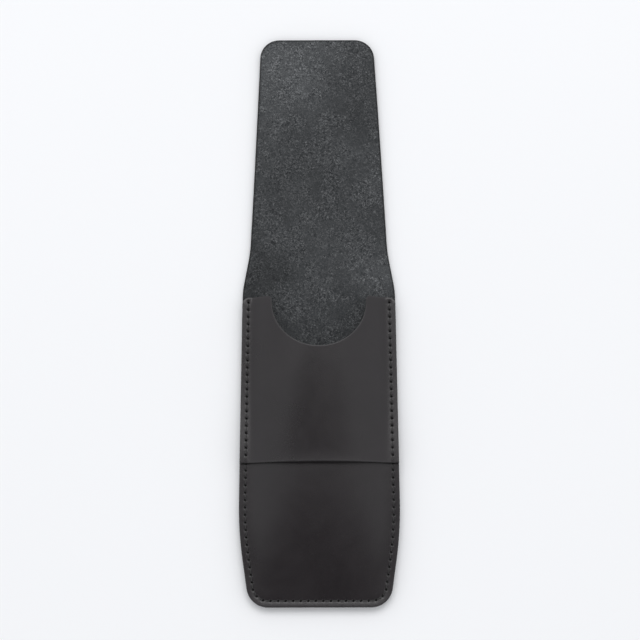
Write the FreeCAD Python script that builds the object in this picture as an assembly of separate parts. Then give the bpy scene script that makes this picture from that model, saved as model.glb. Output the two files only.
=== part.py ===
import FreeCAD, Part
import math
import os

Vector = FreeCAD.Vector
UP = Vector(0, 0, 1)

# A sewn leather travel case with a long flap, lying open on its back, in millimetres.
# X runs across the case, Y from the sewn bottom to the tip of the flap, Z up from the table.
# Places along the case are given as distances from the bottom edge and end in from_bottom.

# Leather
back_thickness = 2.0
front_thickness = 1.8
burnish_radius = 0.5

# Pouch outline, by the corners that its rounded outline is drawn around. A wide corner is rounded
# by an arc that starts its reach before the corner and ends as far after it.
bottom_half_width = 31.8
bottom_corner_radius = 9.7
hip_half_width = 36.75
hip_from_bottom = 34.3
hip_reach = 13.2
mouth_half_width = 35.45
mouth_from_bottom = 142.55
mouth_corner_radius = 3.0

# Front panels
slot_from_bottom = 65.0
overlap_length = 16.7
notch_radius = 21.6
notch_centre_depth = 2.85
notch_corner_radius = 2.5
pocket_height = 5.3
mouth_height = 11.0
slot_clearance = 1.2
step_clearance = 0.4
step_length = 3.2

# Folds and flap
mouth_to_fold = 3.45
closing_clearance = 3.6
fold_gap = 0.2
neck_half_width = 32.0
fold_to_neck = 2.1
flap_length = 105.8
tip_half_width = 26.65
tip_corner_radius = 9.2
shoulder_reach = 3.6
neck_reach = 4.3

# Seam
seam_inset = 2.85
seam_end_gap = 2.55
stitch_pitch = 3.4
thread_radius = 0.25
thread_clearance = 0.08
thread_bend_radius = 0.3
awl_hole_radius = 0.56
thread_spacing = 0.54
groove_clearance = 0.1
groove_side_clearance = 0.4

# Cutting tools run past the leather by this much
overrun = 5.0

# Section across a front panel: place as a share of the half width, height as a share of the crown.
# The four equal heights at each end keep the sewn margins flat.
arch_shares = (
    (-1.1, 0), (-0.93, 0), (-0.88, 0), (-0.84, 0), (-0.42, 1),
    (0.42, 1), (0.84, 0), (0.88, 0), (0.93, 0), (1.1, 0),
)
# Rise of the lower panel from the bottom seam: place as a share of the slot's distance, height share
lower_rise_shares = (
    (-0.05, 0), (0.03, 0), (0.06, 0), (0.09, 0), (0.22, 0.34), (0.38, 0.72), (0.56, 0.95),
    (0.75, 1), (1.0, 1),
)
# Rise of the upper panel from the step to the mouth, as shares of that distance and of the height
upper_rise_shares = ((0.2, 0.12), (0.4, 0.35), (0.62, 0.68), (0.84, 0.96), (1.1, 1))
# Where the step's control heights lie, as shares of the step's length
step_top_shares = (0, 0.2, 0.4)
step_foot_shares = (0.6, 0.8, 1)
# Turns under this many degrees stay sharp
nearly_straight = 1.0
# How finely the leather under the stitches is followed
profile_points = 1500
span_points = 40

# Places worked out from the sizes above
hidden_edge_from_bottom = slot_from_bottom + overlap_length
fold_from_bottom = mouth_from_bottom + mouth_to_fold
fold_depth = mouth_height + front_thickness + closing_clearance
flap_start_from_bottom = fold_from_bottom + fold_depth
neck_from_bottom = flap_start_from_bottom + fold_to_neck
case_length = flap_start_from_bottom + flap_length
margin_height = back_thickness
lap_height = back_thickness + front_thickness
pocket_crown = margin_height + pocket_height
slot_crown = pocket_crown + front_thickness + slot_clearance
mouth_crown = margin_height + mouth_height


def along(from_bottom):
    """Turns a distance from the bottom edge into Y, with the origin at the middle of the length."""
    return from_bottom - case_length / 2


def side_half_width(from_bottom):
    """Half width of the sewn pouch between its corners, before they are rounded."""
    if from_bottom < hip_from_bottom:
        share = from_bottom / hip_from_bottom
        return bottom_half_width + share * (hip_half_width - bottom_half_width)
    share = (from_bottom - hip_from_bottom) / (mouth_from_bottom - hip_from_bottom)
    return hip_half_width + share * (mouth_half_width - hip_half_width)


def wide_radius(before, here, after, reach):
    """Radius of the arc that rounds a wide corner over its reach on each side."""
    way_in = Vector(*here, 0) - Vector(*before, 0)
    way_out = Vector(*after, 0) - Vector(*here, 0)
    return reach / math.tan(way_in.getAngle(way_out) / 2)


def inset_corners(corners, inset):
    """Moves an anticlockwise outline inwards, with each corner's radius adjusted to stay parallel."""
    moved = []
    for index, (x, y, radius) in enumerate(corners):
        here = Vector(x, y, 0)
        before = Vector(*corners[index - 1][:2], 0)
        after = Vector(*corners[(index + 1) % len(corners)][:2], 0)
        way_in = (here - before).normalize()
        way_out = (after - here).normalize()
        normals = UP.cross(way_in) + UP.cross(way_out)
        place = here + normals * (inset / (1 + way_in.dot(way_out)))
        left_turn = way_in.cross(way_out).z > 0
        new_radius = radius - inset if left_turn else radius + inset
        moved.append((place.x, place.y, new_radius if radius else 0))
    return moved


def rounded_edges(points, radii, closed):
    """Straight runs through the points, joined at each corner by a tangent arc of its radius."""
    edges = []
    count = len(points)
    starts = list(points)
    ends = list(points)
    arcs = [None] * count
    for index in range(count):
        if not closed and index in (0, count - 1):
            continue
        here = points[index]
        way_in = (here - points[index - 1]).normalize()
        way_out = (points[(index + 1) % count] - here).normalize()
        turn = way_in.getAngle(way_out)
        if not radii[index] or turn < math.radians(nearly_straight):
            continue
        reach = radii[index] * math.tan(turn / 2)
        ends[index] = here - way_in * reach
        starts[index] = here + way_out * reach
        inwards = (way_out - way_in).normalize()
        bulge = radii[index] / math.cos(turn / 2) - radii[index]
        arcs[index] = Part.Arc(ends[index], here + inwards * bulge, starts[index]).toShape()
    for index in range(count):
        if arcs[index]:
            edges.append(arcs[index])
        if closed or index < count - 1:
            edges.append(Part.makeLine(starts[index], ends[(index + 1) % count]))
    return edges


def outline_face(corners):
    points = [Vector(x, along(from_bottom), 0) for x, from_bottom, radius in corners]
    radii = [radius for x, from_bottom, radius in corners]
    return Part.Face(Part.Wire(rounded_edges(points, radii, True)))


def mirrored(right_side):
    """Closes an outline from its right side's corners, listed from the bottom up."""
    return right_side + [(-x, from_bottom, radius) for x, from_bottom, radius in reversed(right_side)]


def pouch_corners(top_from_bottom):
    """The sewn pouch from its bottom edge up to a straight edge across it."""
    bottom = (bottom_half_width, 0)
    hip = (hip_half_width, hip_from_bottom)
    top = (side_half_width(top_from_bottom), top_from_bottom)
    return mirrored([
        (*bottom, bottom_corner_radius),
        (*hip, wide_radius(bottom, hip, top, hip_reach)),
        (*top, 0),
    ])


def case_corners():
    """The whole piece of leather that makes the back and the flap."""
    bottom = (bottom_half_width, 0)
    hip = (hip_half_width, hip_from_bottom)
    shoulder = (side_half_width(fold_from_bottom), fold_from_bottom)
    neck = (neck_half_width, neck_from_bottom)
    tip = (tip_half_width, case_length)
    return mirrored([
        (*bottom, bottom_corner_radius),
        (*hip, wide_radius(bottom, hip, shoulder, hip_reach)),
        (*shoulder, wide_radius(hip, shoulder, neck, shoulder_reach)),
        (*neck, wide_radius(shoulder, neck, tip, neck_reach)),
        (*tip, tip_corner_radius),
    ])


def slab(from_bottom, to_bottom, height):
    """A block across the whole case between two distances from the bottom edge."""
    wide = 2 * (hip_half_width + overrun)
    corner = Vector(-wide / 2, along(from_bottom), -overrun)
    return Part.makeBox(wide, to_bottom - from_bottom, height + 2 * overrun, corner)


def burnished(leather, wanted):
    """Rounds the cut edges that the given test picks."""
    edges = [edge for edge in leather.Edges if wanted(edge.BoundBox)]
    return leather.makeFillet(burnish_radius, edges)


def flat_along(box, height):
    return abs(box.ZMin - height) < burnish_radius / 2 and abs(box.ZMax - height) < burnish_radius / 2


def across_fold(box):
    """True for the straight edges that a fold line leaves across the case."""
    return box.YLength < burnish_radius and box.XLength > tip_half_width


def back_leather(from_bottom, to_bottom):
    """One stretch of the single piece of leather that is both the back and the flap."""
    whole = outline_face(case_corners()).extrude(UP * back_thickness)
    return whole.common(slab(from_bottom, to_bottom, back_thickness))


def make_back_panel(holes, groove):
    panel = back_leather(-overrun, fold_from_bottom - fold_gap / 2)
    fold_y = along(fold_from_bottom) - fold_gap

    def outer_edge(box):
        return flat_along(box, 0) and box.YMin < fold_y

    return burnished(panel, outer_edge).cut([groove] + holes)


def make_flap_fold():
    band = back_leather(fold_from_bottom + fold_gap / 2, flap_start_from_bottom - fold_gap / 2)

    def side_edge(box):
        return not across_fold(box) and box.ZLength < burnish_radius

    return burnished(band, side_edge)


def make_flap():
    flap = back_leather(flap_start_from_bottom + fold_gap / 2, case_length + overrun)
    fold_y = along(flap_start_from_bottom) + fold_gap

    def rim_edge(box):
        return box.YMax > fold_y and box.ZLength < burnish_radius

    return burnished(flap, rim_edge)


def arched_sheet(stations):
    """Leather that lies flat along its sewn sides and arches up between them.

    Each station gives a distance from the bottom, the height of the margins and that of the crown.
    """
    poles = []
    for from_bottom, margin, crown in stations:
        half_width = side_half_width(from_bottom)
        row = [
            Vector(place * half_width, along(from_bottom), margin + height * (crown - margin))
            for place, height in arch_shares
        ]
        poles.append(row)
    surface = Part.BSplineSurface()
    along_mults, along_knots = clamped_knots(len(stations))
    across_mults, across_knots = clamped_knots(len(arch_shares))
    surface.buildFromPolesMultsKnots(
        poles, along_mults, across_mults, along_knots, across_knots, False, False, 3, 3)
    return surface.toShape().extrude(UP * front_thickness)


def clamped_knots(pole_count):
    """Multiplicities and knots of a cubic curve that starts and ends on its end poles."""
    degree = 3
    knot_count = pole_count - degree + 1
    inner = [1] * (knot_count - 2)
    return [degree + 1] + inner + [degree + 1], list(range(knot_count))


def make_lower_front_panel(holes):
    stations = [
        (share * slot_from_bottom, margin_height, margin_height + rise * pocket_height)
        for share, rise in lower_rise_shares
    ]
    for from_bottom in (hidden_edge_from_bottom, hidden_edge_from_bottom + overrun):
        stations.append((from_bottom, margin_height, pocket_crown))
    outline = outline_face(pouch_corners(hidden_edge_from_bottom))
    tool_height = UP * (pocket_crown + front_thickness + overrun)
    return arched_sheet(stations).common(outline.extrude(tool_height)).cut(holes)


def upper_panel_outline():
    """The upper panel seen from above, as a tall block with a thumb notch that is round below."""
    corners = mirrored([
        (side_half_width(slot_from_bottom), slot_from_bottom, 0),
        (side_half_width(mouth_from_bottom), mouth_from_bottom, mouth_corner_radius),
    ])
    tool_height = mouth_crown + front_thickness + overrun
    block = outline_face(corners).extrude(UP * tool_height)
    mouth_y = along(mouth_from_bottom)
    notch_centre = Vector(0, mouth_y - notch_centre_depth, 0)
    round_end = Part.makeCylinder(notch_radius, tool_height, notch_centre)
    straight_end = Part.makeBox(
        2 * notch_radius, notch_centre_depth + overrun, tool_height, notch_centre - Vector(notch_radius, 0, 0))
    block = block.cut(round_end.fuse(straight_end))

    def notch_corner(box):
        at_rim = abs(max(box.XMax, -box.XMin) - notch_radius) < notch_corner_radius
        upright = box.ZLength > overrun and box.XLength < burnish_radius
        return upright and at_rim and abs(box.YMax - mouth_y) < burnish_radius

    edges = [edge for edge in block.Edges if notch_corner(edge.BoundBox)]
    return block.makeFillet(notch_corner_radius, edges)


def upper_stations():
    """The upper panel steps up over the lower one's hidden edge and rises on towards the mouth."""
    stations = []
    for from_bottom in (slot_from_bottom - overrun, slot_from_bottom):
        stations.append((from_bottom, lap_height, slot_crown))
    step_from_bottom = hidden_edge_from_bottom + step_clearance
    for share in step_top_shares:
        stations.append((step_from_bottom + share * step_length, lap_height, slot_crown))
    for share in step_foot_shares:
        stations.append((step_from_bottom + share * step_length, margin_height, slot_crown))
    step_end = step_from_bottom + step_length
    for share, rise in upper_rise_shares:
        from_bottom = step_end + share * (mouth_from_bottom - step_end)
        stations.append((from_bottom, margin_height, slot_crown + rise * (mouth_crown - slot_crown)))
    return stations


def make_upper_front_panel(holes):
    return arched_sheet(upper_stations()).common(upper_panel_outline()).cut(holes)


def seam_line():
    """The stitching line: down the left side, round the bottom and up the right side."""
    corners = inset_corners(pouch_corners(mouth_from_bottom), seam_inset)
    top = mouth_from_bottom - seam_end_gap
    run = corners[4:] + corners[:2]
    left_top = corners[3]
    right_top = corners[2]
    points = [(left_top[0], top, 0)] + run + [(right_top[0], top, 0)]
    edges = rounded_edges(
        [Vector(x, along(from_bottom), 0) for x, from_bottom, radius in points],
        [radius for x, from_bottom, radius in points], False)
    return Part.Wire(edges)


def seam_holes():
    """Evenly spaced places for the awl holes along the seam."""
    line = seam_line()
    gaps = round(line.Length / stitch_pitch)
    return line.discretize(Number=gaps + 1)


def awl_holes(places):
    height = mouth_crown + front_thickness + 2 * overrun
    return [
        Part.makeCylinder(awl_hole_radius, height, place - UP * overrun)
        for place in places
    ]


def back_groove():
    """A groove under the back panel that takes the thread, so that the case lies flat on its back."""
    reach = thread_spacing / 2 + thread_radius + groove_side_clearance
    corners = pouch_corners(mouth_from_bottom - seam_end_gap + reach)
    sizes = []
    for inset in (seam_inset - reach, seam_inset + reach):
        moved = inset_corners(corners, inset)
        flat_top = [
            (x, corners[index][1] if index in (2, 3) else from_bottom, radius)
            for index, (x, from_bottom, radius) in enumerate(moved)
        ]
        sizes.append(outline_face(flat_top))
    depth = 2 * thread_radius + 2 * groove_clearance
    return sizes[0].cut(sizes[1]).extrude(UP * depth)


def margin_profile():
    """The upper face of the sewn margins where the upper panel covers them, as points up the case."""
    poles = [Vector(0, along(place), margin + front_thickness) for place, margin, crown in upper_stations()]
    mults, knots = clamped_knots(len(poles))
    curve = Part.BSplineCurve()
    curve.buildFromPolesMultsKnots(poles, mults, knots, False, 3)
    return curve.discretize(Number=profile_points)


def leather_top(place, profile):
    """Height of the sewn margin's upper face at a place on the seam, with room past the slot's edge."""
    if place.y < along(slot_from_bottom) - thread_radius - thread_clearance:
        return lap_height
    for low, high in zip(profile, profile[1:]):
        if place.y <= high.y:
            share = (place.y - low.y) / (high.y - low.y)
            return low.z + share * (high.z - low.z)
    return profile[-1].z


def stretched_over(profile):
    """The upper hull of a list of (distance, height): a thread pulled tight over what lies below."""
    hull = []
    for point in profile:
        while len(hull) > 1:
            (x1, z1), (x2, z2) = hull[-2:]
            if (x2 - x1) * (point[1] - z1) < (z2 - z1) * (point[0] - x1):
                break
            hull.pop()
        hull.append(point)
    return hull


def front_span(start, end, profile):
    """Points of one stitch on the front, from hole to hole, over any step in the leather between."""
    lift = thread_radius + thread_clearance
    shares = [step / span_points for step in range(span_points + 1)]
    below = [(share, leather_top(start + (end - start) * share, profile)) for share in shares]
    return [start + (end - start) * share + UP * (height + lift)
            for share, height in stretched_over(below)]


def make_thread(places, side, starts_on_front):
    """One half of the saddle stitch: it changes face at each hole and keeps to its side of the seam."""
    rows = []
    for index, place in enumerate(places):
        before = places[max(index - 1, 0)]
        after = places[min(index + 1, len(places) - 1)]
        across = UP.cross((after - before).normalize())
        rows.append(place + across * (side * thread_spacing / 2))
    low = thread_radius + groove_clearance
    profile = margin_profile()
    points = [rows[0] + UP * low] if starts_on_front else []
    on_front = starts_on_front
    for start, end in zip(rows, rows[1:]):
        if on_front:
            points += front_span(start, end, profile)
        else:
            points += [start + UP * low, end + UP * low]
        on_front = not on_front
    edges = rounded_edges(points, [thread_bend_radius] * len(points), False)
    path = Part.Wire(edges)
    way = edges[0].tangentAt(edges[0].FirstParameter)
    section = Part.Wire(Part.makeCircle(thread_radius, points[0], way))
    return path.makePipeShell([section], True, False)


def main():
    places = seam_holes()
    holes = awl_holes(places)
    nodes = {
        "back_panel": make_back_panel(holes, back_groove()),
        "lower_front_panel": make_lower_front_panel(holes),
        "upper_front_panel": make_upper_front_panel(holes),
        "flap_fold": make_flap_fold(),
        "flap": make_flap(),
        "first_needle_thread": make_thread(places, -1, True),
        "second_needle_thread": make_thread(places, 1, False),
    }
    os.makedirs("parts", exist_ok=True)
    for name, shape in nodes.items():
        shape.exportStep("parts/" + name + ".step")
        box = shape.BoundBox
        print(name, shape.isValid(), len(shape.Solids), round(shape.Volume, 1),
              [round(v, 2) for v in (box.XMin, box.YMin, box.ZMin, box.XMax, box.YMax, box.ZMax)])


main()
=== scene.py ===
# %% [markdown]
# # A sewn leather travel case
#
# The real case is two front panels sewn on a long back with one black thread. The back runs on
# into a flap that folds over the front and tucks in behind the upper panel. It has no hardware.
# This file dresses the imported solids: it keeps their sizes and their frame, and makes each piece
# again as leather or thread.

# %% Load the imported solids
import math

import bpy
import numpy as np
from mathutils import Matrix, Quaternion, Vector
from mathutils.geometry import delaunay_2d_cdt


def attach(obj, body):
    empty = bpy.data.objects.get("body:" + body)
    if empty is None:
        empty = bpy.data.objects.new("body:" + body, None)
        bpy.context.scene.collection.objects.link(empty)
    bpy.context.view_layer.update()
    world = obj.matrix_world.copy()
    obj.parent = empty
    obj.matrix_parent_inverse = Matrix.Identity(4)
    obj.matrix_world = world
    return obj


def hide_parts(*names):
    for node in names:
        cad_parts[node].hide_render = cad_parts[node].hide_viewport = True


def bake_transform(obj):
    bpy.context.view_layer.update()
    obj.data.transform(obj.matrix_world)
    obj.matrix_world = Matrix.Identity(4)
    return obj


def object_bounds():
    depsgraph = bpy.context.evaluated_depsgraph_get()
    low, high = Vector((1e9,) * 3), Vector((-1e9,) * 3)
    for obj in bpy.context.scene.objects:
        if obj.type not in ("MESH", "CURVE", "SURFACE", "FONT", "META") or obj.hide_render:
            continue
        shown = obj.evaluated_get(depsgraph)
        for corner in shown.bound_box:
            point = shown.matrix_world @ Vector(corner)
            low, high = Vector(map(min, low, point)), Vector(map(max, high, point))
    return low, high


MM = 0.001
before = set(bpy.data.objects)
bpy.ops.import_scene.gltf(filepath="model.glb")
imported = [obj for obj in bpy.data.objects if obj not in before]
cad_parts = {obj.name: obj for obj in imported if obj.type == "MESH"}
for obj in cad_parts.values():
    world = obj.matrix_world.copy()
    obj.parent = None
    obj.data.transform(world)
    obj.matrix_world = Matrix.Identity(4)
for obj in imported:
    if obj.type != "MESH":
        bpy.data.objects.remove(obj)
cad_low, cad_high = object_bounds()
case_length = (cad_high.y - cad_low.y) / MM

# %% [markdown]
# ## Where the leather folds
#
# The closed flap goes round the mouth of the pouch, so the band between the two folds is as long as
# the mouth is high, plus the leather and some room. Both places could be measured on the solids,
# but worked out like this they stay right when a size is changed. Places along the case are
# distances from its bottom edge. A size that the solids have too keeps its name from there, and
# each size is written down in the cell that first needs it.

# %% Places of the folds
front_thickness = 1.8
mouth_from_bottom = 142.55
mouth_height = 11.0
mouth_to_fold = 3.45
closing_clearance = 3.6

fold_from_bottom = mouth_from_bottom + mouth_to_fold
flap_start_from_bottom = fold_from_bottom + mouth_height + front_thickness + closing_clearance
print("folds at", fold_from_bottom, "and", round(flap_start_from_bottom, 2), "mm from the bottom")

# %% [markdown]
# ## Rounded corners
#
# Cut leather is a flat outline with rounded corners. It could be drawn as a Bezier curve, but then
# every handle is a guess. Here each corner is a point and a radius, and a tangent arc is put in, as
# with a compass on a paper pattern. A wide corner is easier to judge by how far its arc reaches
# along the edge, so its radius is worked out from that.

# %% Turns and straight runs


def turn_angle(before, here, after):
    """Signed turn from one straight run to the next, left turns positive."""
    way_in = np.subtract(here, before)
    way_out = np.subtract(after, here)
    return math.atan2(way_in[0] * way_out[1] - way_in[1] * way_out[0], way_in @ way_out)


def wide_radius(before, here, after, reach):
    return reach / abs(math.tan(turn_angle(before, here, after) / 2))


def straight_run(start, end, spacing):
    """Points from start up to, but without, the end."""
    way = np.subtract(end, start)
    count = max(1, math.ceil(np.linalg.norm(way) / spacing))
    return [tuple(np.add(start, way * step / count)) for step in range(count)]


print("a square corner turns by", round(turn_angle((0, 0), (10, 0), (10, 10)), 3), "radians")

# %% Corners into arcs
outline_spacing = 1.0
least_turn = 0.01
least_arc_steps = 3
mouth_corner_radius = 3.0


def rounded_corner(before, here, after, radius, spacing):
    """The points of a tangent arc in place of a corner."""
    turn = turn_angle(before, here, after)
    if not radius or abs(turn) < least_turn:
        return [tuple(here)]
    way_in = np.subtract(here, before) / np.linalg.norm(np.subtract(here, before))
    first = np.array(here) - way_in * radius * math.tan(abs(turn) / 2)
    heading = math.atan2(way_in[1], way_in[0])
    bend = math.copysign(radius, turn)
    centre = first + bend * np.array((-math.sin(heading), math.cos(heading)))
    count = max(least_arc_steps, math.ceil(abs(turn) * radius / spacing))
    angles = [heading + turn * step / count for step in range(count + 1)]
    return [tuple(centre + bend * np.array((math.sin(a), -math.cos(a)))) for a in angles]


def rounded_path(corners, spacing, closed=True):
    """Points along straight runs through the corners (x, from_bottom, radius), rounded."""
    count = len(corners)
    arcs = []
    for index, (x, place, radius) in enumerate(corners):
        if not closed and index in (0, count - 1):
            arcs.append([(x, place)])
            continue
        before = corners[index - 1][:2]
        after = corners[(index + 1) % count][:2]
        arcs.append(rounded_corner(before, (x, place), after, radius, spacing))
    points = []
    for index, arc in enumerate(arcs):
        points += arc[:-1]
        if closed or index < count - 1:
            points += straight_run(arc[-1], arcs[(index + 1) % count][0], spacing)
        else:
            points.append(arc[-1])
    return np.array(points)


square_corner = rounded_corner((0, 0), (10, 0), (10, 10), mouth_corner_radius, outline_spacing)
print("a square corner rounded by", mouth_corner_radius, "mm takes", len(square_corner), "points")

# %% [markdown]
# ## The outline of the case
#
# The pouch is widest at its hips and narrows a little towards the mouth, and the flap narrows from
# its neck to its tip. The case is symmetric, so one list of corners up the right side is enough,
# and the left side is its mirror. The lower panel and the seam start from the same corners, so that
# all the cut edges lie in line.

# %% Outline of the pouch
bottom_half_width = 31.8
bottom_corner_radius = 9.7
hip_half_width = 36.75
hip_from_bottom = 34.3
hip_reach = 13.2
mouth_half_width = 35.45


def side_half_width(from_bottom):
    """Half width of the pouch between its corners."""
    places = (0, hip_from_bottom, mouth_from_bottom, case_length)
    slope = (mouth_half_width - hip_half_width) / (mouth_from_bottom - hip_from_bottom)
    far = mouth_half_width + slope * (case_length - mouth_from_bottom)
    half_widths = (bottom_half_width, hip_half_width, mouth_half_width, far)
    return np.interp(from_bottom, places, half_widths)


def mirrored(right_side):
    """Closes an outline from its right side's corners, listed from the bottom up."""
    return right_side + [(-x, place, radius) for x, place, radius in reversed(right_side)]


def pouch_corners(top_from_bottom):
    """The sewn pouch from its bottom edge up to a straight edge across it."""
    bottom = (bottom_half_width, 0)
    hip = (hip_half_width, hip_from_bottom)
    top = (float(side_half_width(top_from_bottom)), top_from_bottom)
    return mirrored([
        (*bottom, bottom_corner_radius),
        (*hip, wide_radius(bottom, hip, top, hip_reach)),
        (*top, 0.0),
    ])


print("half width of the case at its first fold, in mm:",
      round(float(side_half_width(fold_from_bottom)), 2))

# %% Outline of the case
neck_half_width = 32.0
fold_to_neck = 2.1
tip_half_width = 26.65
tip_corner_radius = 9.2
shoulder_reach = 3.6
neck_reach = 4.3
neck_from_bottom = flap_start_from_bottom + fold_to_neck


def case_right_side():
    """Corners of the back and flap leather, up its right side."""
    bottom = (bottom_half_width, 0)
    hip = (hip_half_width, hip_from_bottom)
    shoulder = (float(side_half_width(fold_from_bottom)), fold_from_bottom)
    neck = (neck_half_width, neck_from_bottom)
    tip = (tip_half_width, case_length)
    return [
        (*bottom, bottom_corner_radius),
        (*hip, wide_radius(bottom, hip, shoulder, hip_reach)),
        (*shoulder, wide_radius(hip, shoulder, neck, shoulder_reach)),
        (*neck, wide_radius(shoulder, neck, tip, neck_reach)),
        (*tip, tip_corner_radius),
    ]


case_outline = rounded_path(mirrored(case_right_side()), outline_spacing)
print("the whole back and flap outline has", len(case_outline), "points")

# %% [markdown]
# ## The seam
#
# The stitching line runs down the left side, round the bottom and up the right side, a little
# inside the edge. The maker pricks it with a row of slanted slits at an even pitch. The line is the
# pouch's own outline moved inwards, with each radius changed by as much, because only then does it
# stay parallel round the corners. Every other cell about stitches starts from these places.

# %% Places of the awl holes
seam_inset = 2.85
seam_end_gap = 2.55
seam_spacing = 0.3
stitch_pitch = 3.4


def inset_corners(corners, inset):
    """Moves a closed outline's corners inwards, with each radius kept parallel."""
    moved = []
    for index, (x, place, radius) in enumerate(corners):
        before = np.array(corners[index - 1][:2])
        here = np.array((x, place))
        after = np.array(corners[(index + 1) % len(corners)][:2])
        way_in = (here - before) / np.linalg.norm(here - before)
        way_out = (after - here) / np.linalg.norm(after - here)
        normals = np.array((-way_in[1], way_in[0])) + np.array((-way_out[1], way_out[0]))
        spot = here + normals * inset / (1 + way_in @ way_out)
        turn = turn_angle(before, here, after)
        moved.append((spot[0], spot[1], radius - math.copysign(inset, turn) if radius else 0.0))
    return moved


def evenly_spaced(path, pitch):
    """Points at an even pitch along an open path, and the seam's direction at each."""
    steps = np.linalg.norm(np.diff(path, axis=0), axis=1)
    run = np.concatenate(([0], np.cumsum(steps)))
    places = np.linspace(0, run[-1], round(run[-1] / pitch) + 1)
    spots = np.stack([np.interp(places, run, path[:, axis]) for axis in (0, 1)], axis=1)
    ways = np.gradient(spots, axis=0)
    return spots, ways / np.linalg.norm(ways, axis=1)[:, None]


inner = inset_corners(pouch_corners(mouth_from_bottom), seam_inset)
seam_top = mouth_from_bottom - seam_end_gap
seam_corners = [(inner[3][0], seam_top, 0), *inner[4:], *inner[:2], (inner[2][0], seam_top, 0)]
seam_path = rounded_path(seam_corners, seam_spacing, closed=False)
hole_spots, seam_ways = evenly_spaced(seam_path, stitch_pitch)
real_pitch = float(np.linalg.norm(hole_spots[1] - hole_spots[0]))
print(len(hole_spots), "awl holes, pitch in mm:", round(real_pitch, 3))

# %% [markdown]
# ## A smooth curve from a few heights
#
# The front panels are sewn flat at their margins and stand up in an arch over whatever the pocket
# holds. The arch could be sculpted, or left to a cloth simulation. But stiff leather keeps one
# plain, smooth shape, and that is what a B-spline gives: a few control heights pull a curve towards
# them, and it has no kinks anywhere.

# %% B-spline
curve_points = 1600


def spline_points(poles, degree=3):
    """Points on the smooth curve that a row of control points pulls into shape."""
    poles = np.array(poles, float)
    spans = len(poles) - degree
    knots = np.concatenate((np.zeros(degree), np.arange(spans + 1), np.full(degree, spans)))
    u = np.linspace(0, spans, curve_points, endpoint=False)[:, None]
    basis = ((knots[:-1] <= u) & (u < knots[1:])).astype(float)
    for power in range(1, degree + 1):
        low, high = knots[:-power - 1], knots[power + 1:]
        before_width = knots[power:-1] - low
        after_width = high - knots[1:-power]
        before, after = u - low, high - u
        before = np.divide(before, before_width, out=np.zeros_like(before), where=before_width > 0)
        after = np.divide(after, after_width, out=np.zeros_like(after), where=after_width > 0)
        basis = before * basis[:, :-1] + after * basis[:, 1:]
    return basis @ poles


quarters = spline_points((0, 0, 1, 1))[::curve_points // 4]
print("control heights of 0, 0, 1, 1 give a curve through", quarters.round(3))

# %% [markdown]
# ## How high the front panels stand
#
# Across the panel and along it don't depend on each other, so the height at a place is the arch
# across times the rise along, read from two curves. The rows say how far along the panel a place is
# and how high it stands there. For the upper panel they also say how much of the lower panel's
# thickness lies under its margin: that panel is pared thinner towards its hidden edge, so the step
# over it is a long, gentle ramp.

# %% Arch and rise of the front panels
arch_shares = (
    (-1.1, 0), (-0.93, 0), (-0.88, 0), (-0.84, 0), (-0.42, 1),
    (0.42, 1), (0.84, 0), (0.88, 0), (0.93, 0), (1.1, 0),
)
lower_rise_shares = (
    (-0.05, 0), (0.03, 0), (0.06, 0), (0.09, 0), (0.22, 0.25), (0.38, 0.52), (0.56, 0.78),
    (0.75, 0.96), (1.0, 1.06), (1.26, 1.08), (1.33, 1.08),
)
upper_way_shares = (
    (-0.065, 1, -0.12), (0, 1, -0.08), (0.1, 0.85, 0.08), (0.215, 0.5, 0.33), (0.35, 0.2, 0.56),
    (0.5, 0.04, 0.73), (0.65, 0, 0.84), (0.8, 0, 0.92), (1.0, 0, 1.0), (1.08, 0, 1.03),
)


def arched(stations):
    """Height of an arched sheet's underside over (x, from_bottom), from its stations."""
    rows = [(place, float(side_half_width(place)), margin, crown)
            for place, margin, crown in stations]
    place, half_width, margin, crown = spline_points(rows).T
    across, arch = spline_points(arch_shares).T

    def height(x, from_bottom):
        share = x / np.interp(from_bottom, place, half_width)
        low = np.interp(from_bottom, place, margin)
        high = np.interp(from_bottom, place, crown)
        return low + np.interp(share, across, arch) * (high - low)

    return height


back_thickness = 2.0
slot_from_bottom = 65.0
pocket_height = 5.3
slot_clearance = 1.2
slot_crown = back_thickness + pocket_height + front_thickness + slot_clearance
mouth_crown = back_thickness + mouth_height
upper_length = mouth_from_bottom - slot_from_bottom
lower_underside = arched([
    (share * slot_from_bottom, back_thickness, back_thickness + rise * pocket_height)
    for share, rise in lower_rise_shares])
upper_underside = arched([
    (slot_from_bottom + share * upper_length, back_thickness + step * front_thickness,
     slot_crown + rise * (mouth_crown - slot_crown))
    for share, step, rise in upper_way_shares])
print("underside in the middle, at the slot and at the mouth, in mm:",
      round(float(lower_underside(0, slot_from_bottom)), 2),
      round(float(upper_underside(0, mouth_from_bottom)), 2))

# %% [markdown]
# ## What the hand and the thread do to the leather
#
# Real leather is never quite even. The thread pulls it down along the seam, the margin outside the
# stitches curls up a little, the slot's edge lifts, the mouth's edge rolls down, and the sheet
# sways by a fraction of a millimetre. A bump map could fake all that, but not along an edge or in a
# low light, so these small shapes are made in the mesh. Nearly all of them come from how far a
# place is from something, and from a smooth step.

# %% Distances and smooth steps


def distances(x, place, spots):
    """Distance from each place to the nearest of some spots."""
    nearest = np.full(np.shape(x), np.inf)
    for spot_x, spot_y in spots:
        nearest = np.minimum(nearest, np.hypot(x - spot_x, place - spot_y))
    return nearest


def seam_distance(x, place):
    return distances(x, place, seam_path[::2])


def smooth_rise(value, start, end):
    """Goes smoothly from 0 at the start to 1 at the end."""
    t = np.clip((value - start) / (end - start), 0, 1)
    return t * t * (3 - 2 * t)


print("from the bottom edge to the seam, in mm:", round(float(seam_distance(0, 0)), 2))

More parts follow.
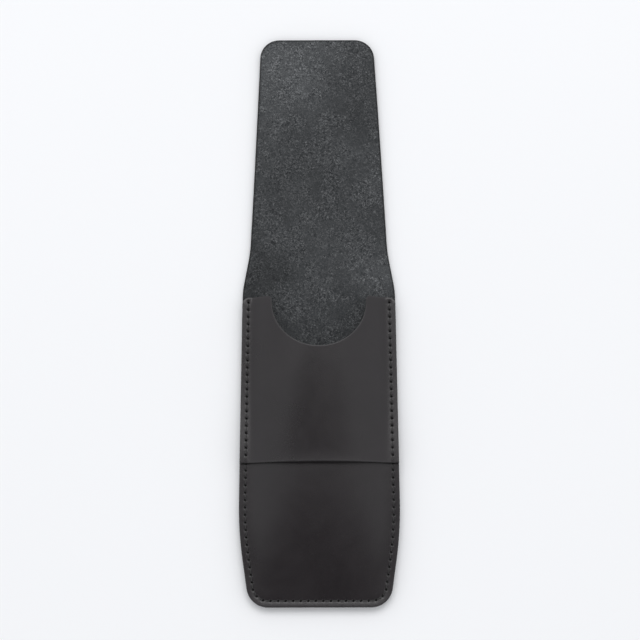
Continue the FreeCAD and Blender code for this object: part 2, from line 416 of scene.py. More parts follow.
# %% [markdown]
# ### Pulled, curled and swaying
#
# A tight thread presses a shallow valley along the seam and a dimple at every slit, and both fade
# out like a bell curve. What lies outside the stitches is free to curl up, most of all along the
# bottom. The sway is a sum of a few long waves in random directions: their seed is fixed, so the
# leather is the same at each run. A pair of numbers says where an effect starts and ends.

# %% Pull of the thread and curl of the margin
pull_depth = 0.16
pull_width = 1.3
dimple_depth = 0.1
dimple_width = 0.6
curl_height = 0.13
side_curl_share = 0.25
curl_from_bottom = (5, 18)
curl_to_mouth = 8.0
edge_tolerance = 0.1

sewn_outline = rounded_path(pouch_corners(mouth_from_bottom), outline_spacing)
sewn_outline = sewn_outline[sewn_outline[:, 1] < mouth_from_bottom - edge_tolerance]


def thread_pull(x, place):
    """How far the stitches draw the leather down."""
    line = np.exp(-(seam_distance(x, place) / pull_width) ** 2)
    holes = np.exp(-(distances(x, place, hole_spots) / dimple_width) ** 2)
    return pull_depth * line + dimple_depth * holes


def curl(x, place):
    """How far the margin outside the stitches curls up."""
    outside = np.clip(1 - distances(x, place, sewn_outline) / seam_inset, 0, 1)
    share = 1 - (1 - side_curl_share) * smooth_rise(place, *curl_from_bottom)
    near_mouth = smooth_rise(place, mouth_from_bottom - curl_to_mouth, mouth_from_bottom)
    return curl_height * outside * share * (1 - near_mouth)


print("the thread pulls the leather down by up to", pull_depth + dimple_depth, "mm")

# %% Sway of the sheets
sway_height = 0.22
sway_count = 6
slow_wave = 0.05
quick_wave = 0.16
slack_from_side = (4, 14)
slack_from_bottom = (5, 16)


def sway(x, place, seed):
    """Slow, uneven waves of about unit height."""
    waves = np.random.default_rng(seed).uniform(
        (slow_wave, 0, 0), (quick_wave, math.tau, math.tau), (sway_count, 3))
    total = 0
    for frequency, direction, phase in waves:
        way = x * math.cos(direction) + place * math.sin(direction)
        total = total + np.sin(frequency * way + phase)
    return total / sway_count


def panel_sway(x, place, seed):
    """Waves in the free middle of a panel, none along its sewn edges."""
    from_side = side_half_width(place) - np.abs(x)
    slack = smooth_rise(from_side, *slack_from_side) * smooth_rise(place, *slack_from_bottom)
    return sway_height * sway(x, place, seed) * slack


print("waves are", round(math.tau / quick_wave), "to", round(math.tau / slow_wave), "mm long")

# %% [markdown]
# ### The two sides of each sheet
#
# With those effects, every sheet is described by two heights over the table, one for its upper side
# and one for its underside. A sheet keeps an even thickness apart from what a tool takes off: the
# lower panel is pared towards its hidden edge, and the back has a groove in which the thread lies,
# so that the case lies flat.

# %% Both sides of the lower panel
overlap_length = 16.7
pared_share = 0.5
pared_from_slot = 1.0
lower_seed = 5
hidden_edge_from_bottom = slot_from_bottom + overlap_length


def lower_under(x, place):
    return lower_underside(x, place) + panel_sway(x, place, lower_seed) + curl(x, place)


def lower_top(x, place):
    pared = smooth_rise(place, slot_from_bottom + pared_from_slot, hidden_edge_from_bottom)
    thickness = front_thickness * (1 - pared_share * pared)
    return lower_under(x, place) + thickness - thread_pull(x, place)


print("the hidden edge is pared to", front_thickness * (1 - pared_share), "mm")

# %% Both sides of the upper panel
lip_lift = 0.12
lip_length = 2.0
lip_from_side = (1, 8)
mouth_roll = 0.3
mouth_roll_length = 2.4
upper_seed = 11


def upper_under(x, place):
    lip = lip_lift * np.exp(-(place - slot_from_bottom) / lip_length)
    lip = lip * smooth_rise(side_half_width(place) - np.abs(x), *lip_from_side)
    rolled = smooth_rise(place, mouth_from_bottom - mouth_roll_length, mouth_from_bottom)
    effects = panel_sway(x, place, upper_seed) + lip - mouth_roll * rolled + curl(x, place)
    return upper_underside(x, place) + effects


def upper_top(x, place):
    return upper_under(x, place) + front_thickness - thread_pull(x, place)


print("height of the front in the middle of the slot's edge, in mm:",
      round(float(upper_top(0, slot_from_bottom)), 2))

# %% Both sides of the back and the flap
flap_lift = 0.45
flap_lift_length = 30.0
flap_seed = 3
groove_depth = 0.7
groove_half_width = 0.92
groove_wall_shares = (0.55, 1.15)


def flap_rise(x, place):
    """The open flap isn't pressed flat: it lies a little off the table past its neck."""
    away = smooth_rise(place, neck_from_bottom, neck_from_bottom + flap_lift_length)
    return flap_lift * away * (1 + sway(x, place, flap_seed)) / 2


def back_top(x, place):
    return back_thickness + flap_rise(x, place) + curl(x, place)


def back_under(x, place):
    wall = smooth_rise(seam_distance(x, place) / groove_half_width, *groove_wall_shares)
    return groove_depth * (1 - wall) + flap_rise(x, place)


print("leather over the groove is", back_thickness - groove_depth, "mm thick")

# %% [markdown]
# ## The awl slits
#
# An awl has a flat blade, so it leaves a short slit, slanted to the seam, and not a round hole. A
# boolean could cut it out of a solid sheet, but that leaves rough shading round each of the 98
# holes. Here every slit is a ring of points from the start, and the sheet is filled in between. A
# wider ring round it, its rim, is where the leather starts to be drawn in.

# %% Awl slits
slit_half_length = 0.54
slit_half_width = 0.4
slit_slant = math.radians(38)
slit_points = 12
slit_rim = 1.32
slit_rim_drop = 0.16


def slit_ring(index, scale):
    """Points round one awl slit, or round its rim."""
    way = math.atan2(seam_ways[index][1], seam_ways[index][0]) + slit_slant
    around = np.arange(slit_points) * math.tau / slit_points
    flat = np.stack((slit_half_length * np.cos(around), slit_half_width * np.sin(around)), axis=1)
    turned = np.array(((math.cos(way), math.sin(way)), (-math.sin(way), math.cos(way))))
    return hole_spots[index] + flat * scale @ turned


print("each slit measures", 2 * slit_half_length, "by", 2 * slit_half_width, "mm")

# %% [markdown]
# ## Points for a sheet
#
# The inside of a sheet needs points too, so that it can take the small shapes: an even grid in the
# middle, and close rows beside the seam, where the leather dips. Points too near to an edge or a
# slit would make thin, badly shaded triangles, so they are left out.

# %% Fill points
grid_step = 1.7
grid_half_width = 36
across_places = np.arange(-grid_half_width, grid_half_width, grid_step)
seam_strip = 1.9
seam_rows = (-1.5, -0.95, -0.5, 0, 0.5, 0.95, 1.5)
seam_row_shares = (0, 0.25, 0.5, 0.75)
room_at_edge = 0.6
room_at_slit = 0.22


def is_inside(points, outline):
    """True for points inside a closed outline, by counting the edges crossed on the way out."""
    inside = np.zeros(len(points), bool)
    for start, end in zip(outline, np.roll(outline, -1, axis=0)):
        if start[1] == end[1]:
            continue
        crosses = (start[1] > points[:, 1]) != (end[1] > points[:, 1])
        x_cross = start[0] + (points[:, 1] - start[1]) * (end[0] - start[0]) / (end[1] - start[1])
        inside ^= crosses & (points[:, 0] < x_cross)
    return inside


def fill_points(outline, holes, rows):
    """Extra points for a sheet's faces: a grid, and rows beside the seam."""
    points = np.array([(x, row) for row in rows for x in across_places])
    if holes:
        points = points[seam_distance(*points.T) >= seam_strip]
        normals = np.stack((-seam_ways[:-1, 1], seam_ways[:-1, 0]), axis=1)
        beside = [hole_spots[:-1] * (1 - share) + hole_spots[1:] * share + normals * offset
                  for offset in seam_rows for share in seam_row_shares]
        points = np.concatenate((points, *beside))
    clear = is_inside(points, outline) & (distances(*points.T, outline) > room_at_edge)
    if holes:
        to_slit = distances(*points.T, hole_spots[holes])
        clear &= to_slit > slit_half_length * slit_rim + room_at_slit
    return points[clear]


hip_row = fill_points(case_outline, [], [hip_from_bottom])
print("one row across the hips has", len(hip_row), "points")

# %% [markdown]
# ## From outline to triangles
#
# A Delaunay triangulation joins the outline, the slit rims and the fill points with triangles that
# are as even as they can be. Blender's own works in the plane and keeps to given edges, which is
# just what a flat pattern needs. It also fills the slits, so those triangles are left out.

# %% Triangles
merge_distance = 0.00001
keep_inside = 1


def triangulate(outline, rings, points):
    """Triangles over the outline that keep to it and leave the rings open."""
    loops = [outline, *rings]
    flat = np.concatenate(loops + [points])
    edges = []
    start = 0
    owner = np.full(len(flat), -1)
    for number, loop in enumerate(loops):
        last = start + len(loop)
        edges += [(i, i + 1) for i in range(start, last - 1)] + [(last - 1, start)]
        owner[start:last] = number
        start = last
    made = delaunay_2d_cdt([Vector(p) for p in flat], edges, [], keep_inside, merge_distance)
    source = [origins[0] if origins else -1 for origins in made[3]]
    triangles = []
    for face in made[2]:
        face = [source[i] for i in face]
        owners = {owner[i] for i in face}
        if len(owners) > 1 or owners.pop() <= 0:
            triangles.append(face)
    return flat, triangles


bare = triangulate(case_outline, [], np.empty((0, 2)))[1]
print("the bare outline of the case makes", len(bare), "triangles")

# %% [markdown]
# ## From points to an object
#
# Only here do millimetres become metres, with the origin in the middle of the open case, as in the
# solids. The flap of the real case leans a little to one side, and that is easiest to put in now,
# for all points alike. Each point also keeps its distance to the cut edge as an attribute, so that
# a material can wear the edge.

# %% Mesh and object
flap_lean = 0.6
flap_length = case_length - flap_start_from_bottom
farthest_kept = 8
smooth_angle = math.radians(62)


def to_metres(points):
    """From (x, from_bottom, height) in millimetres to the frame of the solids."""
    return ((points - (0, case_length / 2, 0)) * MM).tolist()


def add_object(name, data):
    made = bpy.data.objects.new(name, data)
    bpy.context.scene.collection.objects.link(made)
    return made


def leather_piece(name, points, faces, kinds, cut):
    """A Blender object from points and faces, with the distance to the cut edge kept."""
    along_flap = np.maximum(points[:, 1] - flap_start_from_bottom, 0) / flap_length
    leaning = points.copy()
    leaning[:, 0] -= flap_lean * along_flap ** 2
    mesh = bpy.data.meshes.new(name)
    mesh.from_pydata(to_metres(leaning), [], faces)
    mesh.polygons.foreach_set("material_index", kinds)
    mesh.polygons.foreach_set("use_smooth", [True] * len(faces))
    to_edge = np.minimum(distances(points[:, 0], points[:, 1], cut), farthest_kept)
    layer = mesh.attributes.new("edge_distance", "FLOAT", "POINT")
    layer.data.foreach_set("value", to_edge.astype(np.float32))
    mesh.set_sharp_from_angle(angle=smooth_angle)
    mesh.update()
    print(name, "has", len(mesh.vertices), "points and", len(mesh.polygons), "faces")
    return add_object(name, mesh)


print("the tip of the flap leans over by", flap_lean, "mm")

# %% [markdown]
# ## A sheet of leather
#
# A piece of leather is a closed mesh with an upper side, an underside and a rounded, burnished
# edge. Solidify and Bevel could give a flat sheet its thickness, but here the two sides differ, and
# each slit needs its own walls. So both sides are lifted from the same flat triangles, and rings
# of points that bulge out between them make the edge. A row of points just inside the edge keeps
# the shading of the flat side flat. Each face carries the number of its side: the upper side, the
# underside, the cut edge or a slit.

# %% Rounded edge
edge_round = 0.3
edge_squareness = 2.6
edge_rings = 9


def inward_ways(outline, open_at=None):
    """For each outline point, the step that moves its edge 1 mm inwards.

    Where the sheet is cut off at open_at to go on in another piece, points only move across.
    """
    before = outline - np.roll(outline, 1, axis=0)
    after = np.roll(outline, -1, axis=0) - outline
    before = before / np.linalg.norm(before, axis=1)[:, None]
    after = after / np.linalg.norm(after, axis=1)[:, None]
    normals = np.stack((-before[:, 1] - after[:, 1], before[:, 0] + after[:, 0]), axis=1)
    ways = normals / (1 + np.sum(before * after, axis=1))[:, None]
    if open_at is not None:
        on_cut = np.abs(outline[:, 1] - open_at) < MM
        half = np.abs(outline[on_cut, 0]).max()
        ways[on_cut] = np.stack((-outline[on_cut, 0] / half, np.zeros(on_cut.sum())), axis=1)
    return ways


def band(first, second, size):
    """Faces between two rings of points that start at these numbers."""
    pairs = [(step, (step + 1) % size) for step in range(size)]
    return [(first + i, second + i, second + after, first + after) for i, after in pairs]


def rounded_edge(outline, ways, upper, lower):
    """Rings between the two sides, each a little further in or out, and their faces."""
    size = len(outline)
    top_edge, under_edge = upper[:size, 2], lower[:size, 2]
    rings, faces = [], []
    previous, total = 0, 2 * len(upper)
    for ring in range(1, edge_rings):
        share = (1 - math.cos(math.pi * ring / edge_rings)) / 2
        bulge = (1 - abs(2 * share - 1) ** edge_squareness) ** (1 / edge_squareness)
        height = top_edge + (under_edge - top_edge) * share
        rings.append(np.column_stack((outline + ways * edge_round * (1 - bulge), height)))
        faces += band(previous, total, size)
        previous, total = total, total + size
    return rings, faces + band(previous, len(upper), size)


print("a cut edge is rounded by", edge_round, "mm with", edge_rings, "bands of faces")

# %% Walls of the slits


def slit_walls(holes, start, total, upper, lower):
    """From each rim down into its slit, through the leather and out to the other rim.

    The rims' points are numbered from start on, and the new rings' points from total on.
    """
    rings, faces = [], []
    for index in holes:
        hole = slit_ring(index, 1)
        rim = slice(start, start + slit_points)
        rings.append(np.column_stack((hole, upper[rim, 2] - slit_rim_drop)))
        rings.append(np.column_stack((hole, lower[rim, 2] + slit_rim_drop)))
        lower_ring = total + slit_points
        for pair in ((total, start), (lower_ring, total), (start + len(upper), lower_ring)):
            faces += band(*pair, slit_points)
        total += 2 * slit_points
        start += slit_points
    return rings, faces


print("each slit has", 3 * slit_points, "faces of wall")

# %% Leather sheet
edge_support = 0.25
least_support_share = 0.8


def leather_sheet(name, outline, top, under, holes, rows, open_at=None):
    """A closed sheet of leather between two heights, with its slits."""
    ways = inward_ways(outline, open_at)
    inner_outline = outline + ways * edge_round
    support = outline + ways * (edge_round + edge_support)
    from_edge = distances(*support.T, inner_outline)
    support = support[from_edge > edge_support * least_support_share]
    if open_at is not None:
        support = support[np.abs(support[:, 1] - open_at) > edge_support]
    extra = np.concatenate((fill_points(inner_outline, holes, rows), support))
    rims = [slit_ring(index, slit_rim) for index in holes]
    flat, triangles = triangulate(inner_outline, rims, extra)
    upper = np.column_stack((flat, top(*flat.T)))
    lower = np.column_stack((flat, under(*flat.T)))
    edge_points, edge_faces = rounded_edge(outline, ways, upper, lower)
    size = len(outline)
    slits_start = 2 * len(flat) + len(edge_points) * size
    slit_rings, slit_faces = slit_walls(holes, size, slits_start, upper, lower)
    turned = [[i + len(flat) for i in face[::-1]] for face in triangles]
    sides = (triangles, turned, edge_faces, slit_faces)
    faces = [face for side in sides for face in side]
    kinds = [number for number, side in enumerate(sides) for face in side]
    points = np.concatenate((upper, lower, *edge_points, *slit_rings))
    return leather_piece(name, points, faces, kinds, outline if open_at is None else case_outline)


print("a row of points", edge_support, "mm inside the rounding keeps the sides flat")

# %% [markdown]
# ## The back and the flap
#
# One long piece of leather bends at two fold lines when the case closes. A piece of the scene can
# bend across one joint only, so it is made in two halves that meet in the middle of the band
# between the folds. Rows of points lie close together across each fold, so that it can bend
# round.

# %% Rows and outlines of the long leather
fold_row_step = 0.7
fold_bend = 3.5
fold_strip = fold_bend + 1.5
join_from_bottom = (fold_from_bottom + flap_start_from_bottom) / 2


def rows_between(start, end):
    """Places of the rows of points, closer together near the folds."""
    places = np.arange(start, end, grid_step)
    folds = np.array((fold_from_bottom, flap_start_from_bottom))
    away = np.abs(places[:, None] - folds).min(axis=1) > fold_strip
    close = [np.arange(fold - fold_strip, fold + fold_strip, fold_row_step) for fold in folds]
    places = np.concatenate([places[away], *close])
    return np.sort(places[(places > start) & (places < end)])


def cut_outline(from_join):
    """The part of the back and flap outline on one side of the join across the band."""
    right_side = case_right_side()
    shoulder, neck = right_side[2:4]
    share = (join_from_bottom - shoulder[1]) / (neck[1] - shoulder[1])
    join = (shoulder[0] + share * (neck[0] - shoulder[0]), join_from_bottom, 0.0)
    side = [join, *right_side[3:]] if from_join else [*right_side[:3], join]
    return rounded_path(mirrored(side), outline_spacing)


print("the two halves meet", join_from_bottom, "mm from the bottom")

# %% Back and flap leather
room_at_join = 0.3
first_back_row = 0.5
all_holes = list(range(len(hole_spots)))
back_leather = leather_sheet(
    "back_leather", cut_outline(False), back_top, back_under, all_holes,
    rows_between(first_back_row, join_from_bottom - room_at_join), join_from_bottom)
flap_leather = leather_sheet(
    "flap_leather", cut_outline(True), back_top, back_under, [],
    rows_between(join_from_bottom + room_at_join, case_length), join_from_bottom)

# %% [markdown]
# ## The two front panels
#
# Both are the same kind of sheet with their own outlines. The lower one ends in a straight edge
# that hides under the upper one. The upper one has the slot's edge below and the thumb notch at the
# mouth: a U with a round end, whose two corners at the top are eased. The notch is part of the
# outline, and not cut out later, so that its edge is rounded and burnished like all the others.

# %% Notch and outline of the upper panel
notch_radius = 21.6
notch_centre_depth = 2.85
notch_corner_radius = 2.5
notch_corner_points = 7
notch_spacing = 0.7
room_at_notch = 0.3


def notch_path():
    """The mouth's edge from right to left, with the notch and its eased corners."""
    corner_x = notch_radius + notch_corner_radius
    corner = [(corner_x + notch_corner_radius * math.cos(angle),
               mouth_from_bottom + notch_corner_radius * (math.sin(angle) - 1))
              for angle in np.linspace(math.pi / 2, math.pi, notch_corner_points)]
    centre = mouth_from_bottom - notch_centre_depth
    count = math.ceil(math.pi * notch_radius / notch_spacing)
    round_end = [(notch_radius * math.cos(angle), centre - notch_radius * math.sin(angle))
                 for angle in np.linspace(0, math.pi, count)]
    return corner + round_end + [(-x, place) for x, place in reversed(corner)]


def upper_outline():
    """The upper panel's outline, with the notch in place of the middle of the mouth's edge."""
    whole = rounded_path(mirrored([
        (float(side_half_width(slot_from_bottom)), slot_from_bottom, 0.0),
        (mouth_half_width, mouth_from_bottom, mouth_corner_radius),
    ]), outline_spacing)
    notch = notch_path()
    on_mouth = np.abs(whole[:, 1] - mouth_from_bottom) < MM
    keep = ~on_mouth | (np.abs(whole[:, 0]) > notch[0][0] + room_at_notch)
    cut = int(np.argmax(on_mouth & ~keep))
    return np.concatenate((whole[:cut][keep[:cut]], notch, whole[cut:][keep[cut:]]))


print("the notch is", 2 * notch_radius, "mm wide and",
      round(notch_radius + notch_centre_depth, 2), "mm deep")

# %% Front panels
hole_to_hidden_edge = 1.2
hole_to_slot = 1.1
first_lower_row = 0.8
first_upper_row = slot_from_bottom + 0.6


def holes_between(low, high):
    return [i for i in all_holes if low < hole_spots[i][1] < high]


lower_outline = rounded_path(pouch_corners(hidden_edge_from_bottom), outline_spacing)
lower_panel = leather_sheet(
    "lower_front_leather", lower_outline, lower_top, lower_under,
    holes_between(0, hidden_edge_from_bottom - hole_to_hidden_edge),
    np.arange(first_lower_row, hidden_edge_from_bottom, grid_step))
upper_panel = leather_sheet(
    "upper_front_leather", upper_outline(), upper_top, upper_under,
    holes_between(slot_from_bottom + hole_to_slot, mouth_from_bottom),
    np.arange(first_upper_row, mouth_from_bottom, grid_step))

# %% [markdown]
# ## Building node trees in a script
#
# Geometry Nodes and materials are both trees of nodes. Building one by hand means adding a node,
# typing its values and drawing its links, again and again. One helper does all three at once: a
# number is typed into the input, and the output of another node is linked to it. The others give
# short names to the arithmetic that every tree needs.

# %% Node helpers


def fill_input(tree, socket, value):
    """Links another node's output to an input, or sets the input's value."""
    if isinstance(value, bpy.types.NodeSocket):
        tree.links.new(value, socket)
    else:
        socket.default_value = value


def node(tree, kind, inputs=None, **settings):
    """Adds a node, sets it up and fills its inputs by name or number."""
    made = tree.nodes.new(kind)
    for label, value in settings.items():
        setattr(made, label, value)
    for key, value in (inputs or {}).items():
        fill_input(tree, made.inputs[key], value)
    return made


def math_node(tree, operation, *values):
    return node(tree, "ShaderNodeMath", dict(enumerate(values)), operation=operation).outputs[0]


def times(tree, first, second):
    return math_node(tree, "MULTIPLY", first, second)


def vector_node(tree, operation, first, second):
    """Arithmetic on two vectors, or on a vector and a number to scale it by."""
    key = "Scale" if operation == "SCALE" else 1
    made = node(tree, "ShaderNodeVectorMath", {0: first, key: second}, operation=operation)
    return made.outputs["Value" if operation in ("DOT_PRODUCT", "DISTANCE") else "Vector"]


def remap(tree, value, low, high, to_low=0.0, to_high=1.0):
    """Turns one range of values smoothly into another."""
    return node(tree, "ShaderNodeMapRange", {
        "Value": value, "From Min": low, "From Max": high, "To Min": to_low, "To Max": to_high,
    }, interpolation_type="SMOOTHSTEP").outputs["Result"]


def new_socket(tree, label, kind, way="INPUT"):
    return tree.interface.new_socket(label, in_out=way, socket_type="NodeSocket" + kind)


print("helpers for nodes: fill_input, node, math_node, times, vector_node, remap, new_socket")

# %% [markdown]
# ## Stitches
#
# A saddle stitch is one thread with a needle on each end, so a span of thread lies over every gap
# on the front and another one on the back. Each span comes up out of one slit and goes down into
# the next. The 194 spans could be modelled one by one, but they differ only in place, so Geometry
# Nodes make them from a row of short straight edges: the tree turns each edge into a curve, bends
# its ends down, twists it, and sweeps a three-stranded section along it.

# %% Line of each span
points_per_span = 15
dive_share = 0.24
wander_low, wander_high = (-1.0, -1.0, 0.0), (1.0, 1.0, 0.6)


def span_lines(tree, given):
    """Curves for the spans: bowed a little, with both ends bent down into their slits."""
    spans = node(tree, "GeometryNodeMeshToCurve", {"Mesh": given["Geometry"]}).outputs[0]
    spans = node(tree, "GeometryNodeResampleCurve", {
        "Curve": spans, "Count": points_per_span}).outputs[0]
    share = node(tree, "GeometryNodeSplineParameter").outputs["Factor"]
    bow = math_node(tree, "SINE", times(tree, share, math.pi))
    to_end = math_node(tree, "MINIMUM", share, math_node(tree, "SUBTRACT", 1.0, share))
    near_end = remap(tree, to_end, 0.0, dive_share, 1.0, 0.0)
    height = math_node(tree, "SUBTRACT", times(tree, bow, given["Crown"]),
                       times(tree, near_end, given["Dive"]))

    # Each span wanders a little, all its points alike
    index = node(tree, "GeometryNodeInputIndex").outputs[0]
    span = math_node(tree, "FLOOR", math_node(tree, "DIVIDE", index, points_per_span))
    drift = node(tree, "FunctionNodeRandomValue", {
        "Min": wander_low, "Max": wander_high, "ID": span, "Seed": given["Seed"],
    }, data_type="FLOAT_VECTOR").outputs["Value"]
    drift = vector_node(tree, "SCALE", drift, times(tree, given["Wander"], bow))
    lift = node(tree, "ShaderNodeCombineXYZ", {"Z": height}).outputs[0]
    spans = node(tree, "GeometryNodeSetPosition", {
        "Geometry": spans, "Offset": vector_node(tree, "ADD", lift, drift)}).outputs[0]
    tilt = times(tree, share, times(tree, given["Twists"], math.tau))
    return node(tree, "GeometryNodeSetCurveTilt", {"Curve": spans, "Tilt": tilt}).outputs[0]


print("each span is a curve with", points_per_span, "points")

# %% Section of the thread
points_round_thread = 12
strand_count = 3


def thread_section(tree, given):
    """A circle that swells in one lobe for each strand."""
    circle = node(tree, "GeometryNodeCurvePrimitiveCircle", {
        "Resolution": points_round_thread, "Radius": given["Thread Radius"]}, mode="RADIUS")
    around = node(tree, "GeometryNodeSplineParameter").outputs["Factor"]
    lobes = math_node(tree, "COSINE", times(tree, around, strand_count * math.tau))
    swell = math_node(tree, "MULTIPLY_ADD", lobes, given["Strand Depth"], 1.0)
    place = node(tree, "GeometryNodeInputPosition").outputs[0]
    swollen = vector_node(tree, "SCALE", place, swell)
    return node(tree, "GeometryNodeSetPosition", {
        "Geometry": circle.outputs[0], "Position": swollen}).outputs[0]


print("the thread has", strand_count, "strands")

# %% Stitch tree


def new_stitch_tree():
    """A tree that turns each loose edge of a path into a span of thread."""
    tree = bpy.data.node_groups.new("Saddle stitch spans", "GeometryNodeTree")
    new_socket(tree, "Geometry", "Geometry")
    for label, kind, value in (
            ("Thread Radius", "Float", 0.25 * MM), ("Crown", "Float", 0.1 * MM),
            ("Dive", "Float", 1.0 * MM), ("Twists", "Float", 2.5), ("Strand Depth", "Float", 0.16),
            ("Wander", "Float", 0.05 * MM), ("Seed", "Int", 4)):
        new_socket(tree, label, kind).default_value = value
    new_socket(tree, "Thread", "Material")
    new_socket(tree, "Geometry", "Geometry", "OUTPUT")
    given = tree.nodes.new("NodeGroupInput").outputs
    cord = node(tree, "GeometryNodeCurveToMesh", {
        "Curve": span_lines(tree, given), "Profile Curve": thread_section(tree, given),
        "Fill Caps": True}).outputs[0]
    cord = node(tree, "GeometryNodeRealizeInstances", {0: cord}).outputs[0]
    cord = node(tree, "GeometryNodeSetMaterial", {
        "Geometry": cord, "Material": given["Thread"]}).outputs[0]
    tree.links.new(cord, tree.nodes.new("NodeGroupOutput").inputs[0])
    return tree


stitch_tree = new_stitch_tree()
print("the stitch tree has", len(stitch_tree.nodes), "nodes")

# %% [markdown]
# ## Materials
#
# The same leather shows three faces: smooth grain on the front and on the outside, suede where it
# was split, and burnished edges. What they share, such as grain and nap, is made once as a group
# of shader nodes with named inputs, and each material places the group with its own values. All
# patterns read object coordinates, which are in metres. So a pattern is as large as on the real
# piece, and its scale says how often it repeats in a metre: 1500 gives cells of about 0.7 mm.

# %% Shared effects


def new_group(name, inputs, outputs):
    """An effect that several materials share: a group with named inputs and outputs."""
    tree = bpy.data.node_groups.new(name, "ShaderNodeTree")
    new_socket(tree, "Vector", "Vector")
    for label, value in inputs.items():
        kind = "Vector" if isinstance(value, tuple) else "Float"
        new_socket(tree, label, kind).default_value = value
    for label in outputs:
        new_socket(tree, label, "Float", "OUTPUT")
    return tree, tree.nodes.new("NodeGroupInput").outputs


def give_out(tree, **values):
    """Links results to the group's outputs by name, and returns the finished group."""
    results = tree.nodes.new("NodeGroupOutput")
    for label, value in values.items():
        tree.links.new(value, results.inputs[label])
    print("shared effect:", tree.name)
    return tree


def use_group(tree, group, vector, **values):
    """Places a shared effect in a material."""
    return node(tree, "ShaderNodeGroup", {"Vector": vector, **values}, node_tree=group).outputs


print("helpers for shared effects: new_group, give_out, use_group")

# %% Patterns and colours


def noise(tree, vector, scale, detail=3.0, roughness=0.55, distortion=0.0):
    return node(tree, "ShaderNodeTexNoise", {
        "Vector": vector, "Scale": scale, "Detail": detail, "Roughness": roughness,
        "Distortion": distortion}).outputs["Fac"]


def cell_distance(tree, vector, scale, feature):
    """Distance to the middle of a pattern's cells, or to their borders."""
    cells = node(tree, "ShaderNodeTexVoronoi", {"Vector": vector, "Scale": scale}, feature=feature)
    return cells.outputs["Distance"]


def blend_colours(tree, share, first, second):
    """Mixes two colours by a share that varies over the surface."""
    made = node(tree, "ShaderNodeMix", data_type="RGBA")
    fill_input(tree, made.inputs[0], share)
    for number, colour in ((6, first), (7, second)):
        fill_input(tree, made.inputs[number], (*colour, 1) if isinstance(colour, tuple) else colour)
    return made.outputs[2]


print("helpers for patterns and colours: noise, cell_distance, blend_colours")

# %% A material and its shader


def new_material(name, colour, roughness, **settings):
    """A material with one Principled shader and its fixed values, and where it is looked up."""
    material = bpy.data.materials.new(name)
    material.use_nodes = True
    material.diffuse_color = (*colour, 1)
    tree = material.node_tree
    shader = tree.nodes["Principled BSDF"]
    shader.inputs["Base Color"].default_value = (*colour, 1)
    shader.inputs["Roughness"].default_value = roughness
    for label, value in settings.items():
        shader.inputs[label.replace("_", " ")].default_value = value
    return material, tree, shader.inputs, node(tree, "ShaderNodeTexCoord").outputs["Object"]


def finish(tree, inputs, colour, roughness=None, height=None, distance=0.0, strength=1.0):
    """Links a material's varying colour, roughness and height to its shader."""
    tree.links.new(colour, inputs["Base Color"])
    if roughness is not None:
        tree.links.new(roughness, inputs["Roughness"])
    if height is not None:
        bump = node(tree, "ShaderNodeBump", {
            "Height": height, "Distance": distance, "Strength": strength})
        tree.links.new(bump.outputs[0], inputs["Normal"])


print("helpers for materials: new_material, finish")

# %% [markdown]
# ### Grain
#
# The grain of smooth leather is a net of tiny cells with pores, almost pressed flat. A picture of
# leather could be wrapped on, but then its repeats and its seams show. Two Voronoi patterns give
# the same thing without end: the borders between cells, bent a little so that they aren't straight,
# and small round pores. Slow clouds make the polish a little uneven.

# %% Grain of smooth leather
cell_bend = (0.0012, 0.0012, 0.0012)


def leather_grain():
    tree, given = new_group(
        "Leather grain", {"Cell Scale": 1500.0, "Pore Scale": 520.0, "Cell Depth": 0.5},
        ("Height", "Pores", "Clouds"))
    where = given["Vector"]
    bend = vector_node(tree, "SCALE", cell_bend, noise(tree, where, 260.0, 2.0))
    bent = vector_node(tree, "ADD", where, bend)
    cells = cell_distance(tree, bent, given["Cell Scale"], "DISTANCE_TO_EDGE")
    pores = cell_distance(tree, where, given["Pore Scale"], "F1")
    pores = remap(tree, pores, 0.02, 0.17, 1.0, 0.0)
    fine = times(tree, noise(tree, where, 3200.0), 0.35)
    height = math_node(
        tree, "MULTIPLY_ADD", remap(tree, cells, 0.0, 0.22), given["Cell Depth"], fine)
    height = math_node(tree, "SUBTRACT", height, times(tree, pores, 0.8))
    clouds = noise(tree, where, 38.0, 4.0, 0.6, 0.4)
    return give_out(tree, Height=height, Pores=pores, Clouds=clouds)


grain_group = leather_grain()

# %% [markdown]
# ### Nap
#
# Suede is the torn-up fibre of the split side: fine specks, short curled fibres that catch light,
# and dark pits between them. The light the fibres catch is painted into the colour as pale specks,
# a painted highlight, and the shade between them as dark pits, a painted shade. Hair particles
# would be far too heavy for fibres this short. Seen from above, a curled fibre is a thin pale line,
# and the places where a noise passes its middle value are such lines. Where the nap lies flat, all
# of it fades.

# %% Nap of the suede
pit_shift = (0.031, 0.017, 0.011)


